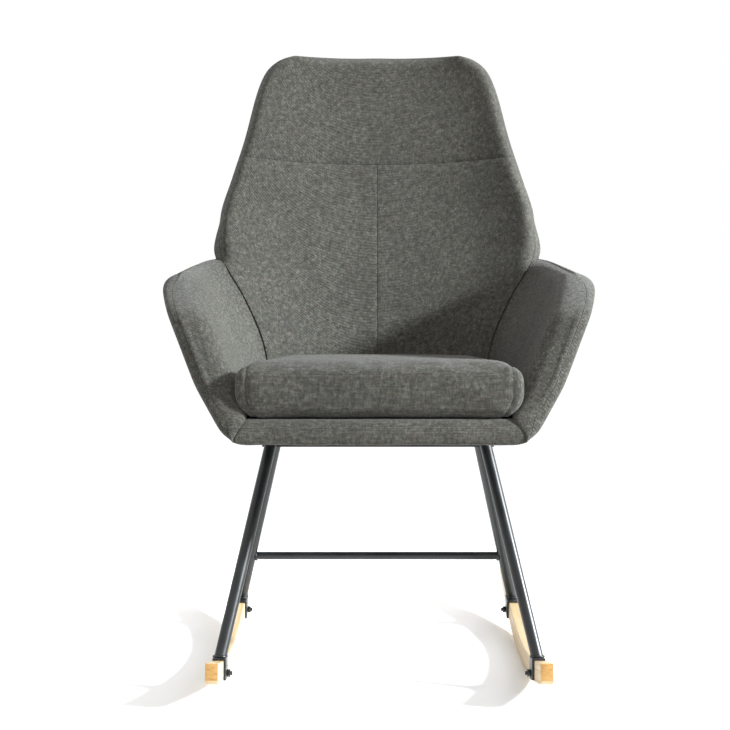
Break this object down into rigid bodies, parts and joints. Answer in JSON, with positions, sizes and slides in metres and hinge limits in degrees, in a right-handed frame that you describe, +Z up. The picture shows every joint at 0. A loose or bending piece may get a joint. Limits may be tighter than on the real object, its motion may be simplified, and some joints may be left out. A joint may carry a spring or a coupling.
{
  "type": "rocking chair",
  "caption": "Upholstered high-back rocking armchair with a loose seat cushion, splayed black tube legs and curved wooden rockers.",
  "frame": {"origin": "on the floor under the rockers' lowest flats in height, and at the middle of the whole chair's box in X and Y", "axes": "+Z up, the front faces -Y, and +X is the side on the right of someone who looks at the chair's front"},
  "size_m": [0.6316, 0.7538, 0.9697],
  "materials": {
    "black_steel": "satin",
    "black_fastener": "satin",
    "beech": "satin",
    "plywood": "matte",
    "grey_weave": "matte",
    "dust_cloth": "matte"
  },
  "bodies": {
    "chair": {"arm_cover_left": "grey_weave", "arm_cover_right": "grey_weave", "arm_frame_left": "plywood", "arm_frame_right": "plywood", "arm_pad_left": "grey_weave", "arm_pad_right": "grey_weave", "back_cover": "grey_weave", "back_frame": "plywood", "back_pad": "grey_weave", "cross_tube_front": "black_steel", "cross_tube_rear": "black_steel", "dust_cover": "dust_cloth", "front_rail": "plywood", "front_rail_pad": "grey_weave", "leg_front_left": "black_steel", "leg_front_right": "black_steel", "leg_rear_left": "black_steel", "leg_rear_right": "black_steel", "mount_plate_left": "black_steel", "mount_plate_right": "black_steel", "rear_stretcher": "black_steel", "rocker_bolt_front_left": "black_fastener", "rocker_bolt_front_right": "black_fastener", "rocker_bolt_rear_left": "black_fastener", "rocker_bolt_rear_right": "black_fastener", "rocker_bracket_front_left": "black_steel", "rocker_bracket_front_right": "black_steel", "rocker_bracket_rear_left": "black_steel", "rocker_bracket_rear_right": "black_steel", "rocker_left": "beech", "rocker_nut_front_left": "black_fastener", "rocker_nut_front_right": "black_fastener", "rocker_nut_rear_left": "black_fastener", "rocker_nut_rear_right": "black_fastener", "rocker_right": "beech", "seat_board": "plywood", "seat_bolt_front_left": "black_fastener", "seat_bolt_front_right": "black_fastener", "seat_bolt_rear_left": "black_fastener", "seat_bolt_rear_right": "black_fastener", "seat_deck_pad": "grey_weave", "seat_skirt": "grey_weave", "threaded_insert_front_left": "black_fastener", "threaded_insert_front_right": "black_fastener", "threaded_insert_rear_left": "black_fastener", "threaded_insert_rear_right": "black_fastener"},
    "cushion": {"seat_cushion": "grey_weave"}
  },
  "joints": [
    {"name": "cushion_lift", "type": "slide", "parent": "chair", "child": "cushion", "axis": [0, 0, 1], "range_m": [0, 0.2]}
  ]
}
